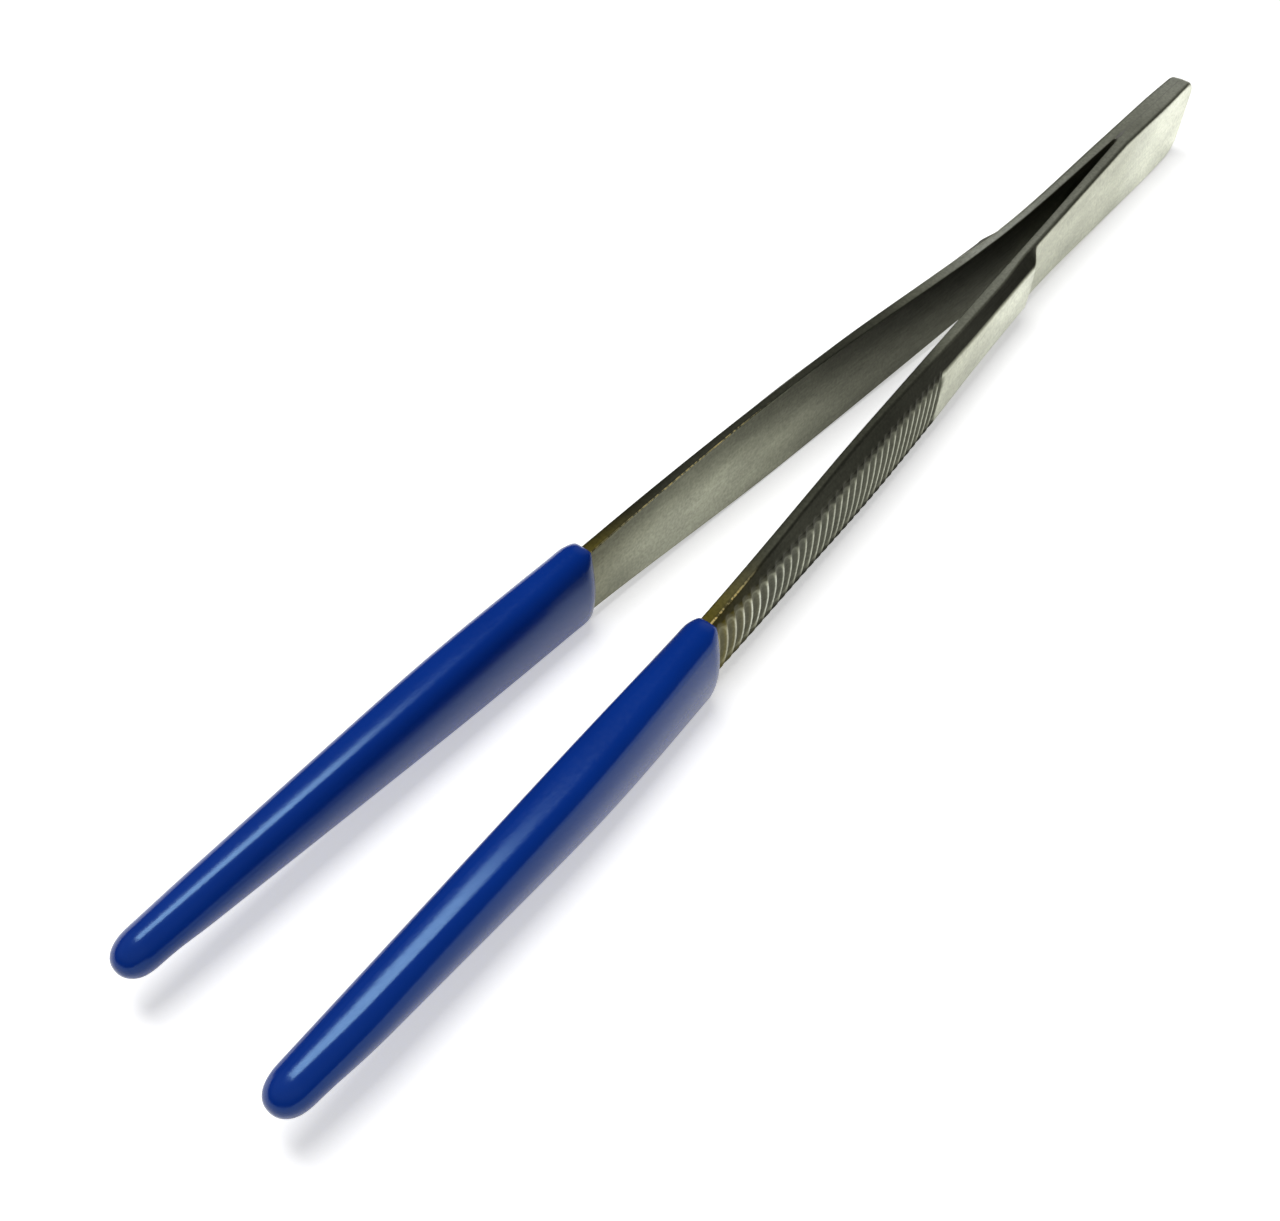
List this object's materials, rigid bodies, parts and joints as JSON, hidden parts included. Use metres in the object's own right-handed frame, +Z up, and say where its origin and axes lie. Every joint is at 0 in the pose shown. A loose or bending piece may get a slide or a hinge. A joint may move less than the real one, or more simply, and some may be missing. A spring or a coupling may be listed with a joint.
{
  "type": "print tongs",
  "caption": "Sprung steel darkroom print tongs with a welded heel, ridged thumb grips and soft dipped vinyl tips that close to lift a wet print.",
  "frame": {"origin": "under the middle of the tongs, on the surface that the lower edges of the heel and arms rest on", "axes": "+X from the heel to the tips, +Y across the opening towards the left arm, +Z up the width of the arms"},
  "size_m": [0.25, 0.03, 0.0162],
  "materials": {
    "satin_steel": "satin ground stainless steel with fine lengthwise grain",
    "weld_steel": "ground weld seam",
    "blue_vinyl": "semi-gloss soft dipped vinyl"
  },
  "bodies": {
    "heel": {"left_heel": "satin_steel", "right_heel": "satin_steel", "heel_weld": "weld_steel"},
    "left_arm": {"left_arm": "satin_steel", "left_tip_coating": "blue_vinyl"},
    "right_arm": {"right_arm": "satin_steel", "right_tip_coating": "blue_vinyl"}
  },
  "joints": [
    {"name": "left_arm_flex", "type": "hinge", "parent": "heel", "child": "left_arm", "pos_m": [-0.0775, 0.00206, 0.0081], "axis": [0, 0, -1], "range_deg": [0, 2.75], "stiffness_Nm_per_rad": 25},
    {"name": "right_arm_flex", "type": "hinge", "parent": "heel", "child": "right_arm", "pos_m": [-0.0775, -0.00206, 0.0081], "axis": [0, 0, 1], "range_deg": [0, 2.75], "stiffness_Nm_per_rad": 25}
  ],
  "couplings": [
    {"joint": "right_arm_flex", "follows": "left_arm_flex", "ratio": 1}
  ]
}
